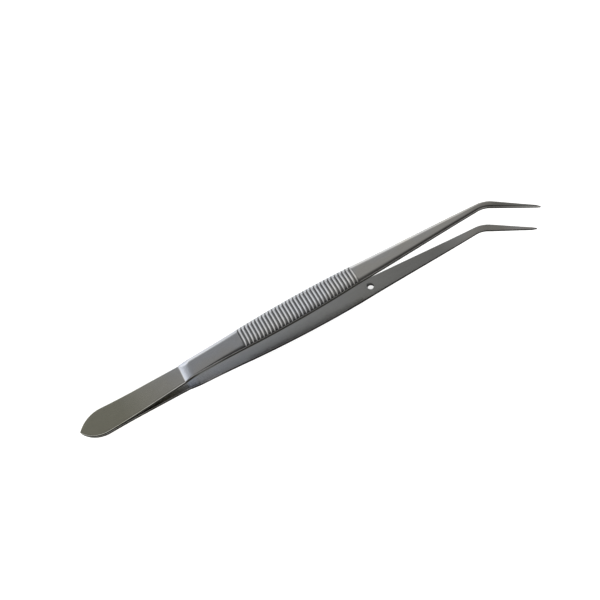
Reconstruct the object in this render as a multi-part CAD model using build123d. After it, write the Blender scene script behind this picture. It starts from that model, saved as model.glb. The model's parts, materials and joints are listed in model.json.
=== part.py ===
from build123d import *
import os
from math import atan, cos, degrees, radians, sin, tan

# Bent-tip tweezers: two pressed steel blades welded together at a leaf-shaped tail. Millimetres.
# The blades are drawn with X from the tail point along the straight arms, Y across them, and Z = 0 in
# the plane between the blades. A station is a distance from the tail along the centreline of a blade.
# The finished part is then laid down on its bowed lower arm.

# Whole part
overall_length = 155.0
tip_length = 17.2
bend_angle = 36.1
bend_radius = 7.5

# Tail leaf of each blade
leaf_length = 34.7
leaf_thickness = 1.1
leaf_tail_width = 8.4
leaf_arch_length = 8.1
leaf_edge_break = 0.12
leaf_knee = 14.0
leaf_knee_radius = 150.0
split_station = 16.0

# Welds between the two leaves
weld_diameter = 2.4
weld_thickness = 0.5
weld_first_station = 3.6
weld_pitch = 3.0
weld_count = 2

# Shoulder, where each blade steps outwards to its neck: straight inside, arched outside
shoulder_length = 3.0
shoulder_inner_radius = 2.6
shoulder_root_radius = 0.5
neck_length = 0.6
neck_width = 5.9

# Gaps between the inner faces of the two blades. The arms bow outwards, but run straight through the grip
shoulder_gap = 3.75
neck_gap = 5.33
grip_start_gap = 7.23
grip_end_gap = 10.35
bend_gap = 12.0
tip_gap = 11.35

# Section of the arm: flat inside, upright sides, and a crown between two bevels outside
arm_thickness = 1.42
bend_thickness = 1.05
tip_thickness = 0.8
crown_height = 0.3
bevel_width = 1.0

# Grip
grip_start = 55.7
grip_length = 38.8
grip_start_width = 6.8
grip_middle_width = 7.6
grip_end_width = 6.45
groove_count = 33
groove_width = 0.95
groove_depth = 0.32

# Bent tip
bend_width = 2.3
bend_bevel_width = 0.6
nose_length = 1.5
nose_start_width = 0.7
nose_start_bevel_width = 0.22
nose_start_crown_height = 0.14
nose_end_width = 0.3
nose_end_thickness = 0.5
nose_end_bevel_width = 0.1
nose_end_crown_height = 0.08

# Guide pin on the upper arm, and the hole for it in the lower arm
guide_station = 99.5
guide_hole_diameter = 2.1
guide_clearance = 0.3
guide_pin_length = 4.3
guide_pin_seat_depth = 0.85
guide_pin_lead = 0.25

# Shares, and the overrun of every cutter
taper_shares = (0.25, 0.5, 0.75, 1.0)
flare_station_share = 0.5
flare_width_share = 0.2
overrun = 1.0

# Stations and angles that follow from the sizes
neck_station = leaf_length + shoulder_length + neck_length
grip_end = grip_start + grip_length
bend_turn = radians(bend_angle)
bend_cut = bend_radius * tan(bend_turn / 2)
bend_start = overall_length - tip_length * cos(bend_turn) - bend_cut
bend_end = bend_start + bend_radius * bend_turn
tip_end = bend_end + tip_length - bend_cut
nose_start = tip_end - nose_length
neck_run = grip_start - neck_station
taper_run = bend_start - grip_end
grip_slope = (grip_end_gap - grip_start_gap) / 2 / grip_length
neck_drop = (grip_start_gap - neck_gap) / 2 - grip_slope * neck_run
taper_drop = grip_slope * taper_run - (bend_gap - grip_end_gap) / 2
leaf_slope = atan(shoulder_gap / 2 / (leaf_length - leaf_knee))


def between(start, end, share):
    return start + (end - start) * share


def half_gap(station):
    """Height of the upper blade's inner face over the middle plane, from the neck to the tip."""
    if station > bend_start:
        share = max(0, (station - bend_end) / (tip_end - bend_end))
        return between(bend_gap, tip_gap, share) / 2
    before = max(0, (grip_start - station) / neck_run)
    after = max(0, (station - grip_end) / taper_run)
    line = grip_start_gap / 2 + grip_slope * (station - grip_start)
    return line - neck_drop * before**2 - taper_drop * after**2


def arm_slope(station):
    """Slope of the arm's faces at a station between the neck and the bend."""
    before = max(0, (grip_start - station) / neck_run)
    after = max(0, (station - grip_end) / taper_run)
    return grip_slope + 2 * neck_drop * before / neck_run - 2 * taper_drop * after / taper_run


def thickness(station):
    """Whole thickness of the arm: even up to the end of the grip, then thinner towards the tip."""
    if station > bend_start:
        share = max(0, (station - bend_end) / (tip_end - bend_end))
        return between(bend_thickness, tip_thickness, share)
    share = max(0, (station - grip_end) / (bend_start - grip_end))
    return between(arm_thickness, bend_thickness, share)


def across(station):
    """Plane square to the centreline, with its own X across the blade and its own Y upwards."""
    turn = min(max(station - bend_start, 0) / bend_radius, bend_turn)
    beyond = max(station - bend_end, 0)
    x = min(station, bend_start) + bend_radius * sin(turn) + beyond * cos(turn)
    y = -bend_radius * (1 - cos(turn)) - beyond * sin(turn)
    return Plane(origin=(x, y, 0), x_dir=(sin(turn), cos(turn), 0), z_dir=(cos(turn), -sin(turn), 0))


def arm_section(station, width, bevel, crown=crown_height, height=None):
    """Six-sided section of the upper arm, standing square to the centreline."""
    inside = half_gap(station)
    outside = inside + (height or thickness(station))
    corner = outside - crown
    side = width / 2
    flat = side - bevel
    outline = Polyline(
        (-side, inside), (side, inside), (side, corner), (flat, outside), (-flat, outside), (-side, corner), close=True
    )
    return across(station) * make_face(outline)


def straight_arm():
    """The arm from its neck through the grip to the bend, without grooves or holes."""
    flare_station = between(neck_station, grip_start, flare_station_share)
    flare_width = between(neck_width, grip_start_width, flare_width_share)
    neck = arm_section(neck_station, neck_width, bevel_width)
    flare = arm_section(flare_station, flare_width, bevel_width)
    start = arm_section(grip_start, grip_start_width, bevel_width)
    middle = arm_section(grip_start + grip_length / 2, grip_middle_width, bevel_width)
    end = arm_section(grip_end, grip_end_width, bevel_width)
    taper = [end]
    for share in taper_shares:
        width = between(grip_end_width, bend_width, share)
        bevel = between(bevel_width, bend_bevel_width, share)
        taper.append(arm_section(between(grip_end, bend_start, share), width, bevel))
    return loft([neck, flare, start]) + loft([start, middle, end]) + loft(taper)


def bent_tip():
    """The bend, turned about an upright axis, then the straight point and its rounded nose."""
    start = arm_section(bend_start, bend_width, bend_bevel_width)
    end = arm_section(bend_end, bend_width, bend_bevel_width)
    neck = arm_section(nose_start, nose_start_width, nose_start_bevel_width, nose_start_crown_height)
    nose = arm_section(tip_end, nose_end_width, nose_end_bevel_width, nose_end_crown_height, nose_end_thickness)
    pivot = Axis((bend_start, -bend_radius, 0), (0, 0, -1))
    return revolve(start, axis=pivot, revolution_arc=bend_angle) + loft([end, neck]) + loft([neck, nose])


def arm_blank():
    return straight_arm() + bent_tip()


def leaf_plan():
    """Plan of the leaf and shoulder: a pointed arch, then two sides that taper to the neck's width."""
    arch_end = Vector(leaf_arch_length, leaf_tail_width / 2)
    shoulder = Vector(leaf_length, neck_width / 2)
    neck = Vector(neck_station, neck_width / 2)
    arch = TangentArc(arch_end, (0, 0), tangent=arch_end - shoulder)
    half = Curve() + [arch, Polyline(arch_end, shoulder, neck)]
    end = Line(neck, neck - Vector(0, neck_width))
    return make_face((half + mirror(half, about=Plane.XZ) + end).edges())


def leaf_profile():
    """Side view of the leaf and shoulder: flat at the tail, sloping out, then stepping up to the neck."""
    back = leaf_thickness * tan(leaf_slope / 2)
    inside = [
        (leaf_knee, 0),
        (leaf_length, shoulder_gap / 2),
        (leaf_length + shoulder_length, neck_gap / 2 - arm_slope(neck_station) * neck_length),
    ]
    low_end = (neck_station, neck_gap / 2)
    low_radii = [leaf_knee_radius, shoulder_inner_radius, shoulder_inner_radius]
    low = FilletPolyline((0, 0), *inside, low_end, radius=low_radii)
    outer_knee = (leaf_knee - back, leaf_thickness)
    ramp_foot = (leaf_length, shoulder_gap / 2 + leaf_thickness)
    high_end = (neck_station, neck_gap / 2 + arm_thickness)
    high = FilletPolyline((0, leaf_thickness), outer_knee, ramp_foot, radius=leaf_knee_radius - leaf_thickness)
    ramp = TangentArc(high_end, ramp_foot, tangent=(-1, -arm_slope(neck_station)))
    ends = [Line((0, 0), (0, leaf_thickness)), Line(low_end, high_end)]
    outline = make_face((Curve() + [low, high, ramp] + ends).edges())
    root = outline.vertices().sort_by_distance(ramp_foot)[0]
    return Plane.XZ * fillet(root, shoulder_root_radius)


def shoulder_bevel():
    """Cutter that runs the far bevel of the arm out along the shoulder, down to the foot of its ramp."""
    side = neck_width / 2
    corner = neck_gap / 2 + arm_thickness - crown_height
    rise = crown_height / bevel_width
    low = (side + overrun, corner - overrun * rise)
    high = (side - bevel_width - overrun, corner + (bevel_width + overrun) * rise)
    wedge = make_face(Polyline(low, high, (low[0], high[1]), close=True))
    run = Vector(leaf_length - neck_station, 0, shoulder_gap / 2 + leaf_thickness - corner)
    return extrude(across(neck_station) * wedge, amount=run.length, dir=run)


def leaf_blank():
    """The upper leaf and shoulder, with a light edge break round the outer face."""
    plan = extrude(leaf_plan(), amount=neck_gap + arm_thickness)
    profile = extrude(leaf_profile(), amount=leaf_tail_width, both=True)
    leaf = plan & profile
    outer_edges = leaf.faces().filter_by(lambda face: face.normal_at().Z > 0).edges()
    rim = outer_edges.filter_by(Axis.Y, reverse=True)
    bevel = shoulder_bevel()
    return chamfer(rim, leaf_edge_break) - [bevel, mirror(bevel, about=Plane.XZ)]


def grip_grooves():
    """The V cutters of the grip, each square to the outer face."""
    rise = groove_depth + overrun
    half = groove_width / 2 * rise / groove_depth
    outline = Polyline((0, -groove_depth), (half, overrun), (-half, overrun), close=True)
    cutter = extrude(Plane.XZ * make_face(outline), amount=grip_middle_width, both=True)
    cutters = []
    for index in range(groove_count):
        station = between(grip_start, grip_end, index / (groove_count - 1))
        seat = Pos(station, 0, half_gap(station) + arm_thickness)
        cutters.append(seat * Rot(0, -degrees(atan(arm_slope(station))), 0) * cutter)
    return cutters


def weld_nugget():
    """A lens of melted metal across the joint between the leaves."""
    rim = (weld_diameter / 2, 0)
    top = (0, weld_thickness / 2)
    cap = ThreePointArc(rim, top, (-weld_diameter / 2, 0))
    half = make_face((Curve() + [cap, Line((-weld_diameter / 2, 0), rim)]).edges())
    half = split(half, bisect_by=Plane.YZ)
    quarter = Plane.XZ * half
    dome = revolve(quarter, axis=Axis.Z)
    return dome + mirror(dome, about=Plane.XY)


def guide_pin():
    """Peg that stands on the inner face of the upper arm and points at the hole below it."""
    radius = guide_hole_diameter / 2 - guide_clearance
    length = guide_pin_seat_depth + guide_pin_length
    free_end = half_gap(guide_station) - guide_pin_length
    pin = Pos(guide_station, 0, free_end) * Cylinder(radius, length, align=(Align.CENTER, Align.CENTER, Align.MIN))
    return chamfer(pin.edges().group_by(Axis.Z)[0], guide_pin_lead)


def guide_hole():
    depth = arm_thickness + 2 * overrun
    middle = half_gap(guide_station) + arm_thickness / 2
    return Pos(guide_station, 0, -middle) * Cylinder(guide_hole_diameter / 2, depth)


def build():
    """All nodes, in the frame that the blades are drawn in. The lower blade is the upper one turned over."""
    leaf = leaf_blank()
    cut = Plane.YZ.offset(split_station)
    welds = [Pos(weld_first_station + index * weld_pitch, 0, 0) * weld_nugget() for index in range(weld_count)]
    tail = split(leaf, bisect_by=cut, keep=Keep.BOTTOM) - welds
    arm = split(leaf, bisect_by=cut, keep=Keep.TOP) + arm_blank() - grip_grooves()
    pin = guide_pin()
    return {
        "upper_tail_leaf": tail,
        "lower_tail_leaf": mirror(tail, about=Plane.XY),
        "weld_nuggets": Compound(children=welds),
        "upper_arm": arm - pin,
        "lower_arm": mirror(arm, about=Plane.XY) - guide_hole(),
        "guide_pin": pin,
    }


def lay_down(nodes):
    """Turns the part so that it rests on its lower grip, with the middle of its base at the origin."""
    solids = [solid for node in nodes.values() for solid in node.solids()]
    mass = sum(solid.volume for solid in solids)
    balance = sum(solid.center(CenterOf.MASS).X * solid.volume for solid in solids) / mass
    turn = Rot(0, -degrees(atan(arm_slope(balance))), 0)
    box = Compound([turn * solid for solid in solids]).bounding_box()
    return Pos(-box.center().X, -box.center().Y, -box.min.Z) * turn


nodes = build()
placing = lay_down(nodes)
os.makedirs("parts", exist_ok=True)
for name, node in nodes.items():
    export_step(placing * node, f"parts/{name}.step")
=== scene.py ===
import json
from itertools import pairwise
from math import atan, cos, pi, radians, sin, sqrt, tan

import bmesh
import bpy
import numpy as np
from mathutils import Matrix, Vector


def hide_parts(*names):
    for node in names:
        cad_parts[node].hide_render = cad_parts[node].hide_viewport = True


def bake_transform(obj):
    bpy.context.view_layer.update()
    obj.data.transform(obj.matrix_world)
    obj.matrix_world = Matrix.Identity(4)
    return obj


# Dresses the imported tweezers. The blades are drawn in millimetres: X from the tail point along the straight
# arms, Y across them, and Z = 0 in the plane between the blades. A station is a distance from the tail along
# a blade's centreline. Angles are in degrees. One placing takes it all to the row frame, in metres.
millimetre = 0.001

# Whole part
overall_length = 155.0
tip_length = 17.2
bend_angle = 36.1
bend_radius = 7.5

# Tail leaf
leaf_length = 34.7
leaf_thickness = 1.1
leaf_tail_width = 8.4
tail_set_back = 0.01
leaf_arch_length = 8.1
leaf_edge_break = 0.16
leaf_knee = 14.0
leaf_knee_radius = 150.0
mount_station = 4.6

# Shoulder and neck
shoulder_length = 3.0
shoulder_inner_radius = 2.6
shoulder_root_radius = 0.5
neck_length = 0.6
neck_width = 6.1
near_bevel_start_share = 0.15
near_bevel_full_station = 54.0

# Gaps between the blades. The arms bow outwards, but run straight through the grip
shoulder_gap = 3.75
neck_gap = 5.33
grip_start_gap = 7.23
grip_end_gap = 10.35
bend_gap = 12.0
tip_gap = 11.35
taper_waist = 0.3

# Section of the arm
arm_thickness = 1.42
bend_thickness = 1.05
tip_thickness = 0.8
crown_height = 0.3
bevel_width = 1.0
edge_rounding = 0.09
crown_rounding = 0.42
crown_wear_and_highlight_share = 0.3

# Grip
grip_start = 55.7
grip_length = 38.8
grip_start_width = 7.0
grip_middle_width = 7.75
grip_end_width = 6.5
flare_width_share = 0.2
groove_count = 33
groove_width = 0.95
groove_depth = 0.32
groove_lip = 0.05
groove_root = 0.04
near_bevel_shade_share = 0.9

# Bent tip
bend_width = 2.3
bend_bevel_width = 0.6
nose_length = 1.5
nose_start_width = 0.7
nose_start_bevel_width = 0.22
nose_start_crown_height = 0.14
nose_end_width = 0.3
nose_end_thickness = 0.5
nose_end_bevel_width = 0.1
nose_end_crown_height = 0.08

# Guide hole
guide_station = 99.5
guide_hole_diameter = 2.1
guide_hole_edge_break = 0.1
guide_hole_sides = 64
overrun = 1.0

# Rings, steps and limits of a blade's mesh
arch_rings = 18
shoulder_ring_step = 0.16
arm_ring_step = 1.1
bend_rings = 18
nose_rings = 6
corner_steps = 4
face_steps = 4
arc_steps = 12
ramp_steps = 24
least_side = 0.004
rounding_limit_share = 0.45

# Camera, as fitted to the photograph
camera_position = (53.556, -116.018, 205.580)
camera_target = (77.346, 4.816, 0.0)
camera_roll = -18.779
camera_lens = 45.95
camera_sensor = 36.0

# Stations and angles that follow from the sizes
neck_station = leaf_length + shoulder_length + neck_length
grip_end = grip_start + grip_length
bend_turn = radians(bend_angle)
bend_cut = bend_radius * tan(bend_turn / 2)
bend_start = overall_length - tip_length * cos(bend_turn) - bend_cut
bend_end = bend_start + bend_radius * bend_turn
tip_end = bend_end + tip_length - bend_cut
nose_start = tip_end - nose_length
neck_run = grip_start - neck_station
taper_run = bend_start - grip_end
grip_slope = (grip_end_gap - grip_start_gap) / 2 / grip_length
neck_drop = (grip_start_gap - neck_gap) / 2 - grip_slope * neck_run
neck_slope = grip_slope + 2 * neck_drop / neck_run
taper_drop = grip_slope * taper_run - (bend_gap - grip_end_gap) / 2
leaf_slope = atan(shoulder_gap / 2 / (leaf_length - leaf_knee))

# Greatest value of share * (1 - share) ** 2, the shape of the waist
waist_peak = 4 / 27

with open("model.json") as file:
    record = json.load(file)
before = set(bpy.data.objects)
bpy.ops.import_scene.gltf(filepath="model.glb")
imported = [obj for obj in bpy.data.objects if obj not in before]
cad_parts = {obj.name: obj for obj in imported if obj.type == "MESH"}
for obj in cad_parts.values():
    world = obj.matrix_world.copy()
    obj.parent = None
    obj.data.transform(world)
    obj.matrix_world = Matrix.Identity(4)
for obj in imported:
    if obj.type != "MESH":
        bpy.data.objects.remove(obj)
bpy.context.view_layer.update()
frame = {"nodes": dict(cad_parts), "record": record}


def placing():
    """Takes millimetres in the blades' frame to metres in the row frame, found from the two tail mounts."""
    mounts = {mount["name"]: mount for mount in frame["record"]["mounts"]}
    top, bottom = mounts["tail_top_face"], mounts["tail_bottom_face"]
    middle = (Vector(top["pos_m"]) + Vector(bottom["pos_m"])) / 2
    up = Vector(top["axis"]).normalized()
    across = Vector((0, 1, 0))
    along = across.cross(up)
    axes = Matrix((along, across, up)).transposed() * millimetre
    origin = middle - axes @ Vector((mount_station, 0, 0))
    return Matrix.Translation(origin) @ axes.to_4x4()


to_row = placing()


# Outline of a blade
def between(start, end, share):
    return start + (end - start) * share


def share_along(station, start, end):
    """How much of the way from start to end a station has covered, within 0 to 1."""
    return min(1, max(0, (station - start) / (end - start)))


def rounded(corners, radii):
    """Points of a flat polyline whose inner corners are rounded to the radii."""
    corners = [Vector(corner) for corner in corners]
    points = [corners[0]]
    for before, corner, after, radius in zip(corners, corners[1:], corners[2:], radii):
        back, ahead = (before - corner).normalized(), (after - corner).normalized()
        half = back.angle(ahead) / 2
        centre = corner + (back + ahead).normalized() * radius / sin(half)
        first = back * radius / tan(half) + corner - centre
        last = ahead * radius / tan(half) + corner - centre
        for step in range(arc_steps + 1):
            points.append(centre + first.lerp(last, step / arc_steps).normalized() * radius)
    return np.array([*points, corners[-1]])


def half_gap(station):
    """Height of the upper blade's inner face over the middle plane, from the neck to the tip."""
    if station > bend_start:
        return between(bend_gap, tip_gap, share_along(station, bend_end, tip_end)) / 2
    before = share_along(station, grip_start, neck_station)
    after = share_along(station, grip_end, bend_start)
    line = grip_start_gap / 2 + grip_slope * (station - grip_start)
    waist = taper_waist * after * (1 - after) ** 2 / waist_peak
    return line - neck_drop * before**2 - taper_drop * after**2 - waist


def leaf_faces():
    """Stations and heights along the inner and along the outer face of the leaf and shoulder."""
    back = leaf_thickness * tan(leaf_slope / 2)
    inner = [
        (0, 0),
        (leaf_knee, 0),
        (leaf_length, shoulder_gap / 2),
        (leaf_length + shoulder_length, neck_gap / 2 - neck_slope * neck_length),
        (neck_station, neck_gap / 2),
    ]
    # The rounding of the shoulder's root takes the place of the ramp's first points
    ramp = ramp_line()
    outer = [(0, leaf_thickness), (leaf_knee - back, leaf_thickness), ramp[0], ramp[2]]
    inner_radii = [leaf_knee_radius, shoulder_inner_radius, shoulder_inner_radius]
    outer_radii = [leaf_knee_radius - leaf_thickness, shoulder_root_radius]
    return rounded(inner, inner_radii).T, np.array([*rounded(outer, outer_radii), *ramp[3:]]).T


def ramp_line():
    """The arched outer face of the shoulder, from the foot of its ramp to the neck."""
    foot = Vector((leaf_length, shoulder_gap / 2 + leaf_thickness))
    neck = Vector((neck_station, neck_gap / 2 + arm_thickness))
    inward = Vector((neck_slope, -1)).normalized()
    chord = foot - neck
    radius = chord.length_squared / (2 * chord.dot(inward))
    centre = neck + inward * radius
    first, last = foot - centre, neck - centre
    turn = first.angle(last)
    line = []
    for step in range(ramp_steps + 1):
        share = step / ramp_steps
        line.append(centre + (first * sin((1 - share) * turn) + last * sin(share * turn)) / sin(turn))
    return line


def curve(start, middle, end, share):
    """A smooth curve through three values, the middle one half way."""
    first = start * (1 - share) * (1 - 2 * share)
    last = end * share * (2 * share - 1)
    return first + 4 * middle * share * (1 - share) + last


def arm_width(station):
    """Width of the arm from the neck to the bend."""
    if station < grip_start:
        flare_width = between(neck_width, grip_start_width, flare_width_share)
        share = share_along(station, neck_station, grip_start)
        return curve(neck_width, flare_width, grip_start_width, share)
    if station < grip_end:
        share = share_along(station, grip_start, grip_end)
        return curve(grip_start_width, grip_middle_width, grip_end_width, share)
    return between(grip_end_width, bend_width, share_along(station, grip_end, bend_start))


inner_line, outer_line = leaf_faces()


def arch_half_width(station):
    """Half width within the pointed arch at the tail, one arc from the tail point to the leaf's side."""
    end = Vector((leaf_arch_length, leaf_tail_width / 2))
    side = end - Vector((leaf_length, neck_width / 2))
    inward = Vector((-side.y, side.x)).normalized()
    radius = -end.length_squared / (2 * end.dot(inward))
    centre = end + inward * radius
    return centre.y + sqrt(radius**2 - (station - centre.x) ** 2)


def half_width(station):
    if station < leaf_arch_length:
        return arch_half_width(station)
    if station < neck_station:
        return between(leaf_tail_width, neck_width, share_along(station, leaf_arch_length, leaf_length)) / 2
    if station < bend_start:
        return arm_width(station) / 2
    if station < nose_start:
        return between(bend_width, nose_start_width, share_along(station, bend_end, nose_start)) / 2
    return between(nose_start_width, nose_end_width, share_along(station, nose_start, tip_end)) / 2


def faces_at(station):
    """Heights of the inner and the outer face."""
    if station < neck_station:
        return np.interp(station, *inner_line), np.interp(station, *outer_line)
    inside = half_gap(station)
    if station < bend_start:
        share = share_along(station, grip_end, bend_start)
        return inside, inside + between(arm_thickness, bend_thickness, share)
    share = share_along(min(station, nose_start), bend_end, tip_end)
    thickness = between(bend_thickness, tip_thickness, share)
    nose_share = share_along(station, nose_start, tip_end)
    return inside, inside + between(thickness, nose_end_thickness, nose_share)


def bevel_at(station):
    """Width and height of the bevels beside the crown. Up the shoulder their lower edge is one slope."""
    if station < leaf_length:
        return leaf_edge_break, leaf_edge_break
    if station < neck_station:
        foot, corner = shoulder_gap / 2 + leaf_thickness, neck_gap / 2 + arm_thickness - crown_height
        slope = between(foot, corner, share_along(station, leaf_length, neck_station))
        drop = faces_at(station)[1] - slope
        return max(leaf_edge_break, drop * bevel_width / crown_height), max(leaf_edge_break, drop)
    if station < bend_start:
        share = share_along(station, grip_end, bend_start)
        return between(bevel_width, bend_bevel_width, share), crown_height
    if station < nose_start:
        share = share_along(station, bend_end, nose_start)
        width = between(bend_bevel_width, nose_start_bevel_width, share)
        return width, between(crown_height, nose_start_crown_height, share)
    share = share_along(station, nose_start, tip_end)
    width = between(nose_start_bevel_width, nose_end_bevel_width, share)
    return width, between(nose_start_crown_height, nose_end_crown_height, share)


def near_bevel_share(station, side):
    """The bevel on the near side of the upper blade runs out towards the neck."""
    if station < leaf_length or side < 0:
        return 1
    return between(near_bevel_start_share, 1, share_along(station, neck_station, near_bevel_full_station))


# Mesh of a blade
def groove_profile():
    """Half of a groove, a V with an eased lip and root: distances from its middle, with their depths."""
    half = groove_width / 2
    slope = groove_depth / half
    return [
        (half + groove_lip, 0),
        (half - groove_lip, groove_lip * slope),
        (groove_root, groove_depth - groove_root * slope),
        (0, groove_depth - groove_root * slope / 2),
    ]


def stations():
    """Each ring's station, and how deep the grip's groove is there."""
    found = {}
    for step in range(arch_rings):
        station = leaf_arch_length * (1 - cos(pi / 2 * step / arch_rings))
        found[max(tail_set_back, station)] = 0
    stretches = [
        (leaf_arch_length, leaf_length - shoulder_root_radius, arm_ring_step),
        (leaf_length - shoulder_root_radius, neck_station, shoulder_ring_step),
        (neck_station, grip_start - groove_width, arm_ring_step),
        (grip_end + groove_width, bend_start, arm_ring_step),
        (bend_start, bend_end, (bend_end - bend_start) / bend_rings),
        (bend_end, nose_start, arm_ring_step),
        (nose_start, tip_end, nose_length / nose_rings),
    ]
    for start, end, step in stretches:
        count = max(1, round((end - start) / step))
        for index in range(count + 1):
            found[between(start, end, index / count)] = 0
    for index in range(groove_count):
        middle = between(grip_start, grip_end, index / (groove_count - 1))
        for reach, depth in groove_profile():
            found[middle - reach] = depth
            found[middle + reach] = depth
    return sorted(found.items())


def corner_points(before, corner, after, reach):
    """A rounded corner of a section, and how far along it each point lies."""
    back, ahead = before - corner, after - corner
    reach = min(reach, rounding_limit_share * back.length, rounding_limit_share * ahead.length)
    first, last = corner + back.normalized() * reach, corner + ahead.normalized() * reach
    points = []
    for step in range(corner_steps + 1):
        share = step / corner_steps
        points.append((first.lerp(corner, share).lerp(corner.lerp(last, share), share), share))
    return points


# Each corner of a ring, from the near one of the inner face round past the far side: its rounding, its edge
# wear and painted edge highlight, and how much side wall lies before and after it
corner_rows = [
    (edge_rounding, 1, (1, 0)),
    (edge_rounding, 1, (0, 1)),
    (edge_rounding, 1, (1, 0)),
    (crown_rounding, crown_wear_and_highlight_share, (0, 0)),
    (crown_rounding, crown_wear_and_highlight_share, (0, 0)),
    (edge_rounding, 1, (0, 1)),
]
inner_face_corners = (0, 1)
near_bevel_corners = (4, 5)
divided_face_corners = (0, 3)


def section_corners(station, groove, blade_side):
    """The corners of one ring, across and up."""
    side = max(half_width(station), least_side)
    inside, outside = faces_at(station)
    bevel, crown = bevel_at(station)
    bevel = min(bevel, side * rounding_limit_share)
    top = outside - groove
    far_edge = min(side - bevel * (1 - min(groove, crown) / crown), side - least_side / 2)
    far_corner = min(outside - crown, top - least_side)
    near = near_bevel_share(station, blade_side)
    near_edge = min(between(side, far_edge, near), side - least_side / 2)
    near_corner = min(between(top, far_corner, near), top - least_side)
    inner_side = [(-side, inside), (side, inside)]
    outer_side = [(side, far_corner), (far_edge, top), (-near_edge, top), (-side, near_corner)]
    return [Vector(point) for point in inner_side + outer_side]


def section(station, groove, blade_side):
    """Points of one ring, across and up, each with its marks: edge wear and painted edge highlight, painted
    groove shade, side wall shade, inner face.
    """
    corners = section_corners(station, groove, blade_side)
    in_grip = grip_start - groove_width < station < grip_end + groove_width
    ring = []
    for index, corner in enumerate(corners):
        before, after = corners[index - 1], corners[(index + 1) % len(corners)]
        reach, most_wear_and_highlight, walls = corner_rows[index]
        inner = 1 if index in inner_face_corners else 0
        # Painted shade: deeper in the grooves, and on the near bevel through the grip
        painted_shade = 0 if inner else groove / groove_depth
        if in_grip and index in near_bevel_corners:
            painted_shade = near_bevel_shade_share
        for point, share in corner_points(before, corner, after, reach):
            ring.append((point, (most_wear_and_highlight * sin(pi * share), painted_shade, between(*walls, share), inner)))
        if index in divided_face_corners:
            # The inner face and the crown get points between their corners
            next_reach = corner_rows[index + 1][0]
            end = corner_points(corner, after, corners[(index + 2) % len(corners)], next_reach)[0][0]
            start = ring[-1][0]
            for step in range(1, face_steps):
                ring.append((start.lerp(end, step / face_steps), (0, painted_shade, 0, inner)))
    return ring


def centreline(station):
    """The ring's middle in plan, and its direction across the blade."""
    turn = min(max(station - bend_start, 0) / bend_radius, bend_turn)
    beyond = max(station - bend_end, 0)
    x = min(station, bend_start) + bend_radius * sin(turn) + beyond * cos(turn)
    y = -bend_radius * (1 - cos(turn)) - beyond * sin(turn)
    return Vector((x, y, 0)), Vector((sin(turn), cos(turn), 0))


def close_skin(shape, rings):
    """Joins rings of vertices into one closed skin that faces outwards."""
    for ring, after in pairwise(rings):
        for index in range(len(ring)):
            beside = (index + 1) % len(ring)
            shape.faces.new((ring[index], ring[beside], after[beside], after[index]))
    shape.faces.new(rings[0])
    shape.faces.new(rings[-1])
    bmesh.ops.recalc_face_normals(shape, faces=shape.faces)


def blade_mesh(name, side):
    """One whole blade as a closed skin. Side is 1 for the upper blade and -1 for the lower one."""
    mesh = bpy.data.meshes.new(name)
    shape = bmesh.new()
    grain = shape.verts.layers.float_vector.new("grain")
    shade_and_wear_marks = shape.verts.layers.float_color.new("shade_and_wear_marks")
    rings = []
    for station, groove in stations():
        middle, across = centreline(station)
        ring = []
        for point, marks in section(station, groove, side):
            vert = shape.verts.new(middle + across * point.x + Vector((0, 0, side * point.y)))
            vert[grain] = (station, point.x, side * point.y)
            vert[shade_and_wear_marks] = marks
            ring.append(vert)
        rings.append(ring)
    close_skin(shape, rings)
    for face in shape.faces:
        face.smooth = True
    shape.to_mesh(mesh)
    shape.free()
    return mesh


def add_object(name, data):
    made = bpy.data.objects.new(name, data)
    bpy.context.scene.collection.objects.link(made)
    return made


def hole_cutter():
    """A cutter through the lower arm, which widens at both faces to break the hole's edges."""
    inside, outside = faces_at(guide_station)
    radius = guide_hole_diameter / 2
    slack = guide_hole_edge_break + overrun
    levels = [
        (radius + slack, outside + overrun),
        (radius, outside - guide_hole_edge_break),
        (radius, inside + guide_hole_edge_break),
        (radius + slack, inside - overrun),
    ]
    shape = bmesh.new()
    rings = []
    for reach, height in levels:
        ring = []
        for index in range(guide_hole_sides):
            turn = 2 * pi * index / guide_hole_sides
            ring.append(shape.verts.new((guide_station + reach * cos(turn), reach * sin(turn), -height)))
        rings.append(ring)
    close_skin(shape, rings)
    mesh = bpy.data.meshes.new("hole_cutter")
    shape.to_mesh(mesh)
    shape.free()
    return add_object("hole_cutter", mesh)


def drill(blade):
    """Cuts the guide hole into the blade's own mesh, and paints its wall with shade near the side walls'."""
    cutter = hole_cutter()
    cut = blade.modifiers.new("guide_hole", "BOOLEAN")
    cut.object = cutter
    cut.solver = "EXACT"
    done = bpy.data.meshes.new_from_object(blade.evaluated_get(bpy.context.evaluated_depsgraph_get()))
    blade.modifiers.remove(cut)
    blade.data = done
    bpy.data.objects.remove(cutter)
    reach = guide_hole_diameter / 2 + guide_hole_edge_break / 2
    grain, shade_and_wear_marks = done.attributes["grain"], done.attributes["shade_and_wear_marks"]
    for vert in done.vertices:
        if (Vector((guide_station, 0)) - vert.co.xy).length < reach:
            grain.data[vert.index].vector = vert.co
            shade_and_wear_marks.data[vert.index].color = hole_wall_shade_marks


def make_blade(name, side, nodes):
    """A blade in place of the CAD solids, which are hidden."""
    blade = add_object(name, blade_mesh(name, side))
    if side < 0:
        drill(blade)
    blade.data.transform(to_row)
    normals = blade.modifiers.new("area_normals", "WEIGHTED_NORMAL")
    normals.mode = "FACE_AREA"
    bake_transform(blade)
    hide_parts(*nodes)
    return blade


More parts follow.
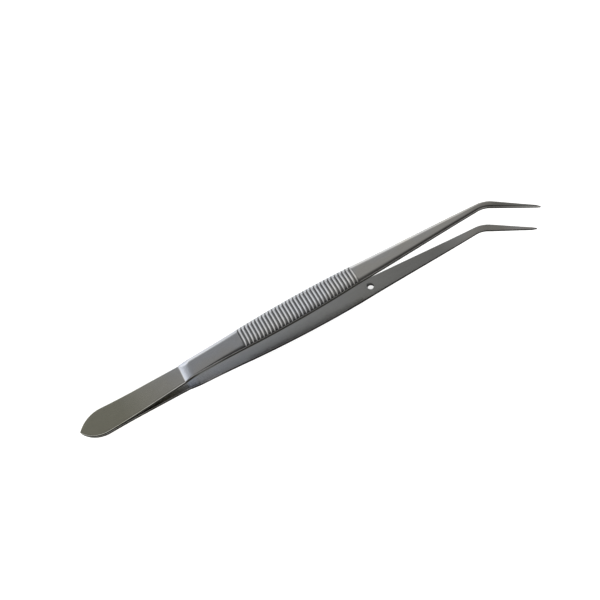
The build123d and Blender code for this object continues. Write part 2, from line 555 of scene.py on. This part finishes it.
# Materials. A stretch is four stations between which a tint rises, holds and falls. A noise is its scale,
# detail and roughness, a window is the part of its range that is spread out, and a bump is a strength and a
# distance. The blades' noises are placed in millimetres along, across and up the blade, and those of the pin
# and the welds in metres.
blade_warm = (0.43, 0.42, 0.395, 1)
blade_cool = (0.425, 0.437, 0.46, 1)
leaf_olive = (0.275, 0.27, 0.205, 1)
inner_painted_shade = (0.26, 0.26, 0.25, 1)
ramp_painted_reflection = (0.41, 0.43, 0.475, 1)
tip_painted_shade = (0.31, 0.30, 0.275, 1)
bright_wear_and_highlight = (0.56, 0.555, 0.545, 1)
hairline_dark_and_wall_shade = (0.02, 0.019, 0.016, 1)
pin_ring_dark_and_groove_shade = (0.17, 0.17, 0.165, 1)
metal_sheen = (1, 1, 1, 1)
wall_shade_tint = (0.62, 0.62, 0.6, 1)
lower_wall_shadow_tint = (0.15, 0.15, 0.145, 1)
weld_straw = (0.36, 0.29, 0.19, 1)
weld_blue = (0.22, 0.25, 0.33, 1)

cool_reflection_stretch = (30.0, 38.0, 84.0, 98.0)
ramp_reflection_stretch = (34.6, 35.1, 36.8, 38.4)
inner_shade_stretch = (25.0, 110.0, 125.0, 138.0)
tip_shade_stretch = (134.0, 143.0, 147.0, 152.5)
lighter_wall_stretch = (37.0, 40.0, 43.0, 50.0)

hairline_scale = (0.12, 9.0, 9.0)
hairline_noise = (1.0, 4.0, 0.6)
hairline_window = (0.4, 0.75)
hairline_dark_share = 0.12
hairline_roughness = (-0.04, 0.05)
cloud_noise = (0.11, 3.0, 0.55)
cloud_tint_share = 0.3
across_reflection_share = 0.45
smudge_scale = (0.5, 0.9, 0.9)
smudge_noise = (0.6, 4.0, 0.6)
smudge_roughness = (0.19, 0.27)
smudge_relief_share = 0.4
noise_window = (0.35, 0.65)
leaf_olive_share = 0.85
groove_shade_share = 0.6
lighter_wall_share = 0.17
rub_and_highlight_shares = (0.1, 0.8)
arm_rub_and_highlight_share = 0.2
wall_roughness = 0.25
worn_smoothness = 0.08
blade_bump = (0.12, 0.00003)
hole_wall_shade_marks = (0, 0, 0.85, 0)

pin_ring_scale = (60.0, 60.0, 9000.0)
pin_ring_noise = (1.0, 2.0, 0.5)
pin_ring_window = (0.45, 0.7)
pin_ring_dark_share = 0.3
pin_cloud_noise = (900.0, 3.0, 0.5)
pin_roughness = (0.2, 0.36)
pin_bump = (0.2, 0.00002)

weld_tint_noise = (1400.0, 3.0, 0.55)
weld_pit_noise = (6000.0, 4.0, 0.6)
weld_roughness = (0.35, 0.6)
weld_bump = (0.25, 0.00004)

# A Mix node's colour sockets, by number because its sockets for other kinds have the same names
mix_inputs = (6, 7)
mix_output = 2


def feed(tree, socket, value):
    """Gives a socket a plain value or another node's output."""
    if isinstance(value, bpy.types.NodeSocket):
        tree.links.new(value, socket)
    else:
        socket.default_value = value


def add_node(tree, kind, inputs=None, **settings):
    """A node with its settings, whose inputs are either numbers or other nodes' outputs."""
    node = tree.nodes.new(kind)
    for name, value in settings.items():
        setattr(node, name, value)
    for name, value in (inputs or {}).items():
        feed(tree, node.inputs[name], value)
    return node


def new_metal(name):
    material = bpy.data.materials.new(name)
    material.use_nodes = True
    shader = material.node_tree.nodes["Principled BSDF"]
    shader.inputs["Metallic"].default_value = 1.0
    return material, material.node_tree, shader


def scaled(tree, vector, scale):
    return add_node(tree, "ShaderNodeMapping", {"Vector": vector, "Scale": scale}).outputs["Vector"]


def noise(tree, vector, scale, detail, roughness):
    settings = {"Vector": vector, "Scale": scale, "Detail": detail, "Roughness": roughness}
    return add_node(tree, "ShaderNodeTexNoise", settings).outputs["Fac"]


def spread(tree, value, low, high, start=0.0, end=1.0):
    """Takes value from start..end to low..high."""
    settings = {"Value": value, "From Min": start, "From Max": end, "To Min": low, "To Max": high}
    return add_node(tree, "ShaderNodeMapRange", settings).outputs["Result"]


def calculate(tree, operation, first, second):
    node = add_node(tree, "ShaderNodeMath", operation=operation)
    feed(tree, node.inputs[0], first)
    feed(tree, node.inputs[1], second)
    return node.outputs["Value"]


def mix(tree, share, first, second):
    """A colour between two others."""
    node = add_node(tree, "ShaderNodeMix", {"Factor": share}, data_type="RGBA")
    for socket, colour in zip(mix_inputs, (first, second)):
        feed(tree, node.inputs[socket], colour)
    return node.outputs[mix_output]


def band(tree, value, stretch):
    """A share that rises, holds and falls again as value passes the stretch's four marks."""
    rise_start, rise_end, fall_start, fall_end = stretch
    rise = spread(tree, value, 0, 1, rise_start, rise_end)
    fall = spread(tree, value, 1, 0, fall_start, fall_end)
    return calculate(tree, "MULTIPLY", rise, fall)


def emboss(tree, shader, relief, strength, distance):
    bump = add_node(tree, "ShaderNodeBump", {"Height": relief, "Strength": strength, "Distance": distance})
    tree.links.new(bump.outputs["Normal"], shader.inputs["Normal"])


def blade_colour(tree, place, clouds, inner):
    """The bare steel's colour.

    It is cooler half way along and on the far side and blue on the ramp, by painted reflection; it is olive
    on the leaf; painted shade makes it darker inside and at the tip.
    """
    station = place["X"]
    # Painted reflection: warmer on the near side, cooler half way along and on the far side; the clouds add
    # random tone
    across = spread(tree, place["Y"], -across_reflection_share, across_reflection_share, -neck_width / 2, neck_width / 2)
    reflection_tone = calculate(tree, "ADD", band(tree, station, cool_reflection_stretch), across)
    cloudy = spread(tree, clouds, -cloud_tint_share, cloud_tint_share, *noise_window)
    colour = mix(tree, calculate(tree, "ADD", reflection_tone, cloudy), blade_warm, blade_cool)
    # Painted reflection: the shoulder's ramp is tinted blue like a mirrored bluish-white highlight
    colour = mix(tree, band(tree, station, ramp_reflection_stretch), colour, ramp_painted_reflection)
    # Painted shade past the bend, where the bent crown mirrors darker surroundings
    colour = mix(tree, band(tree, station, tip_shade_stretch), colour, tip_painted_shade)
    olive = spread(tree, station, leaf_olive_share, 0, leaf_knee, leaf_length + shoulder_root_radius)
    colour = mix(tree, olive, colour, leaf_olive)
    # Painted shade on the inner faces, where the blades face each other
    inner_shade = calculate(tree, "MULTIPLY", inner, band(tree, station, inner_shade_stretch))
    return mix(tree, inner_shade, colour, inner_painted_shade)


def wall_share(tree, station, walls):
    """How much painted shade darkens the side wall. It is lighter beside the shoulder."""
    lighter = calculate(tree, "MULTIPLY", band(tree, station, lighter_wall_stretch), lighter_wall_share)
    return calculate(tree, "MULTIPLY", walls, calculate(tree, "SUBTRACT", 1, lighter))


def wear_and_highlight_share(tree, station, edges, smudges):
    """How far the edges are rubbed bright, partly wear and partly a painted highlight. It is most on the
    leaf, where the tool lies in the hand.
    """
    held = spread(tree, station, 1, arm_rub_and_highlight_share, leaf_length, grip_start)
    rub_and_highlight = calculate(tree, "MULTIPLY", spread(tree, smudges, *rub_and_highlight_shares, *noise_window), held)
    return calculate(tree, "MULTIPLY", edges, rub_and_highlight)


def blade_material():
    """Satin steel, brushed along the blade: painted dark shade on the side walls, edges rubbed bright with a
    painted highlight, painted shade in the grooves and on the near bevel.
    """
    material, tree, shader = new_metal("satin_blade_steel")
    grain = add_node(tree, "ShaderNodeAttribute", attribute_name="grain").outputs["Vector"]
    shade_and_wear_marks = add_node(tree, "ShaderNodeAttribute", attribute_name="shade_and_wear_marks").outputs
    masks = add_node(tree, "ShaderNodeSeparateColor", {"Color": shade_and_wear_marks["Color"]}).outputs
    place = add_node(tree, "ShaderNodeSeparateXYZ", {"Vector": grain}).outputs
    hairlines = noise(tree, scaled(tree, grain, hairline_scale), *hairline_noise)
    clouds = noise(tree, grain, *cloud_noise)
    smudges = noise(tree, scaled(tree, grain, smudge_scale), *smudge_noise)
    wall = wall_share(tree, place["X"], masks["Blue"])
    worn_and_highlight = wear_and_highlight_share(tree, place["X"], masks["Red"], smudges)

    colour = blade_colour(tree, place, clouds, shade_and_wear_marks["Alpha"])
    colour = mix(tree, spread(tree, hairlines, 0, hairline_dark_share, *hairline_window), colour, hairline_dark_and_wall_shade)
    # Painted shade in the grooves and on the near bevel
    painted_shade = calculate(tree, "MULTIPLY", masks["Green"], groove_shade_share)
    colour = mix(tree, painted_shade, colour, pin_ring_dark_and_groove_shade)
    # Painted shade: the side walls are darkened in colour for the dark surroundings they mirror
    colour = mix(tree, wall, colour, hairline_dark_and_wall_shade)
    # Edges rubbed bright: partly wear, partly a painted highlight along the edges
    tree.links.new(mix(tree, worn_and_highlight, colour, bright_wear_and_highlight), shader.inputs["Base Color"])

    fine = spread(tree, hairlines, *hairline_roughness)
    rough = calculate(tree, "ADD", fine, spread(tree, smudges, *smudge_roughness))
    rough = calculate(tree, "ADD", rough, spread(tree, wall, 0, wall_roughness))
    rough = calculate(tree, "SUBTRACT", rough, spread(tree, worn_and_highlight, 0, worn_smoothness))
    tree.links.new(rough, shader.inputs["Roughness"])

    # Painted shade on the side walls' reflection, with a painted shadow that darkens the lower blade's walls
    # further
    lower = spread(tree, place["Z"], 1, 0, -neck_gap / 2, -leaf_thickness)
    wall_tint = mix(tree, lower, wall_shade_tint, lower_wall_shadow_tint)
    tree.links.new(mix(tree, wall, metal_sheen, wall_tint), shader.inputs["Specular Tint"])
    relief = calculate(tree, "ADD", hairlines, spread(tree, smudges, 0, smudge_relief_share))
    emboss(tree, shader, relief, *blade_bump)
    return material


def pin_material():
    """Turned steel: fine rings round the pin, and brighter rubbed patches."""
    material, tree, shader = new_metal("turned_pin_steel")
    place = add_node(tree, "ShaderNodeTexCoord").outputs["Object"]
    rings = noise(tree, scaled(tree, place, pin_ring_scale), *pin_ring_noise)
    clouds = noise(tree, place, *pin_cloud_noise)
    colour = mix(tree, spread(tree, clouds, 0, 1, *noise_window), blade_cool, bright_wear_and_highlight)
    colour = mix(tree, spread(tree, rings, 0, pin_ring_dark_share, *pin_ring_window), colour, pin_ring_dark_and_groove_shade)
    tree.links.new(colour, shader.inputs["Base Color"])
    tree.links.new(spread(tree, rings, *pin_roughness), shader.inputs["Roughness"])
    emboss(tree, shader, rings, *pin_bump)
    return material


def weld_material():
    """Melted steel with a dull, faintly straw and blue tinted skin."""
    material, tree, shader = new_metal("weld_metal_skin")
    place = add_node(tree, "ShaderNodeTexCoord").outputs["Object"]
    tint = noise(tree, place, *weld_tint_noise)
    pits = noise(tree, place, *weld_pit_noise)
    colour = mix(tree, spread(tree, tint, 0, 1, *noise_window), weld_straw, weld_blue)
    tree.links.new(colour, shader.inputs["Base Color"])
    tree.links.new(spread(tree, pits, *weld_roughness), shader.inputs["Roughness"])
    emboss(tree, shader, pits, *weld_bump)
    return material


def dress(thing, material):
    thing.data.materials.clear()
    thing.data.materials.append(material)


# Floor, light and camera, in metres in the row frame
camera_near = 0.01
floor_radius = 3.0
floor_sides = 96
floor_drop = 0.00002
floor_colour = (0.93, 0.93, 0.93, 1)
floor_glow = 0.76
lamp_size = 0.55
lamp_place = (-0.42, 0.78, 0.50)
lamp_power = 0.6
sky_colour = (1, 1, 1, 1)
sky_level = 1.85
horizon_level = 1.0
horizon_fade = (0.2, 0.28)

# Levels of the sky at shares of the way up, from the tail's side to the tips', and from near to far
sky_height_stops = {0.0: 0.55, 0.24: 0.55, 0.34: 1.05, 0.46: 1.0, 0.66: 0.42, 0.84: 0.27, 1.0: 0.24}
sky_side_stops = {
    0.0: 1.0, 0.12: 1.0, 0.28: 0.78, 0.42: 0.8, 0.5: 0.95, 0.6: 1.1,
    0.65: 1.0, 0.71: 0.45, 0.79: 0.15, 0.94: 0.15, 1.0: 0.6,
}
sky_depth_stops = {0.0: 1.2, 0.14: 1.2, 0.3: 0.15, 0.48: 0.15, 0.66: 1.0, 1.0: 1.0}


def floor_material():
    """Pale and matt, with a glow that only shows where the floor is seen or mirrored."""
    material = bpy.data.materials.new("pale_floor")
    material.use_nodes = True
    tree = material.node_tree
    tree.nodes.clear()
    rays = add_node(tree, "ShaderNodeLightPath").outputs
    seen = calculate(tree, "MAXIMUM", rays["Is Camera Ray"], rays["Is Glossy Ray"])
    seen = calculate(tree, "MAXIMUM", seen, rays["Is Transmission Ray"])
    glow = add_node(tree, "ShaderNodeEmission", {"Strength": calculate(tree, "MULTIPLY", seen, floor_glow)})
    matt = add_node(tree, "ShaderNodeBsdfDiffuse", {"Color": floor_colour})
    both = add_node(tree, "ShaderNodeAddShader")
    tree.links.new(glow.outputs["Emission"], both.inputs[0])
    tree.links.new(matt.outputs["BSDF"], both.inputs[1])
    out = add_node(tree, "ShaderNodeOutputMaterial")
    tree.links.new(both.outputs["Shader"], out.inputs["Surface"])
    return material


def add_floor():
    mesh = bpy.data.meshes.new("floor")
    shape = bmesh.new()
    bmesh.ops.create_circle(shape, cap_ends=True, segments=floor_sides, radius=floor_radius)
    shape.to_mesh(mesh)
    shape.free()
    floor = add_object("floor", mesh)
    floor.location.z = -floor_drop
    dress(floor, floor_material())


def add_ramp(tree, value, stops):
    """A level that follows value through the stops."""
    ramp = add_node(tree, "ShaderNodeValToRGB", {"Fac": value})
    elements = ramp.color_ramp.elements
    while len(elements) < len(stops):
        elements.new(1.0)
    for element, (place, level) in zip(elements, stops.items()):
        element.position = place
        element.color = (level, level, level, 1)
    return ramp.outputs["Color"]


def add_world():
    """Soft studio light with a white horizon.

    It is bright behind and at the left, dark at the right, and dim overhead and just in front of that.
    """
    world = bpy.data.worlds.new("studio")
    bpy.context.scene.world = world
    world.use_nodes = True
    tree = world.node_tree
    direction = add_node(tree, "ShaderNodeTexCoord").outputs["Generated"]
    parts = add_node(tree, "ShaderNodeSeparateXYZ", {"Vector": direction}).outputs
    height = add_ramp(tree, parts["Z"], sky_height_stops)
    side = add_ramp(tree, spread(tree, parts["X"], 0, 1, -1, 1), sky_side_stops)
    depth = add_ramp(tree, spread(tree, parts["Y"], 0, 1, -1, 1), sky_depth_stops)
    level = calculate(tree, "MULTIPLY", calculate(tree, "MULTIPLY", height, side), depth)
    horizon = spread(tree, parts["Z"], horizon_level, 0, *horizon_fade)
    level = calculate(tree, "MAXIMUM", calculate(tree, "MULTIPLY", level, sky_level), horizon)
    tree.links.new(level, tree.nodes["Background"].inputs["Strength"])
    tree.nodes["Background"].inputs["Color"].default_value = sky_colour


def add_lamp():
    light = bpy.data.lights.new("softbox", "AREA")
    light.shape = "SQUARE"
    light.size = lamp_size
    light.energy = lamp_power
    lamp = add_object("softbox", light)
    lamp.location = lamp_place
    lamp.rotation_euler = (-Vector(lamp_place)).to_track_quat("-Z", "Y").to_euler()
    lamp.visible_camera = False


def add_camera():
    data = bpy.data.cameras.new("camera")
    data.lens = camera_lens
    data.sensor_width = camera_sensor
    data.clip_start = camera_near
    camera = add_object("camera", data)
    place = to_row @ Vector(camera_position)
    forward = ((to_row @ Vector(camera_target)) - place).normalized()
    up = to_row.to_3x3() @ Vector((0, 0, 1))
    right = forward.cross(up).normalized()
    level = Matrix((right, right.cross(forward), -forward)).transposed()
    turned = level @ Matrix.Rotation(radians(camera_roll), 3, "Z")
    camera.matrix_world = Matrix.Translation(place) @ turned.to_4x4()
    bpy.context.scene.camera = camera


upper = make_blade("upper_blade", 1, ["upper_tail_leaf", "upper_arm"])
lower = make_blade("lower_blade", -1, ["lower_tail_leaf", "lower_arm"])
steel = blade_material()
dress(upper, steel)
dress(lower, steel)
dress(frame["nodes"]["guide_pin"], pin_material())
dress(frame["nodes"]["weld_nuggets"], weld_material())
add_floor()
add_world()
add_lamp()
add_camera()
bpy.context.scene.view_settings.view_transform = "Standard"
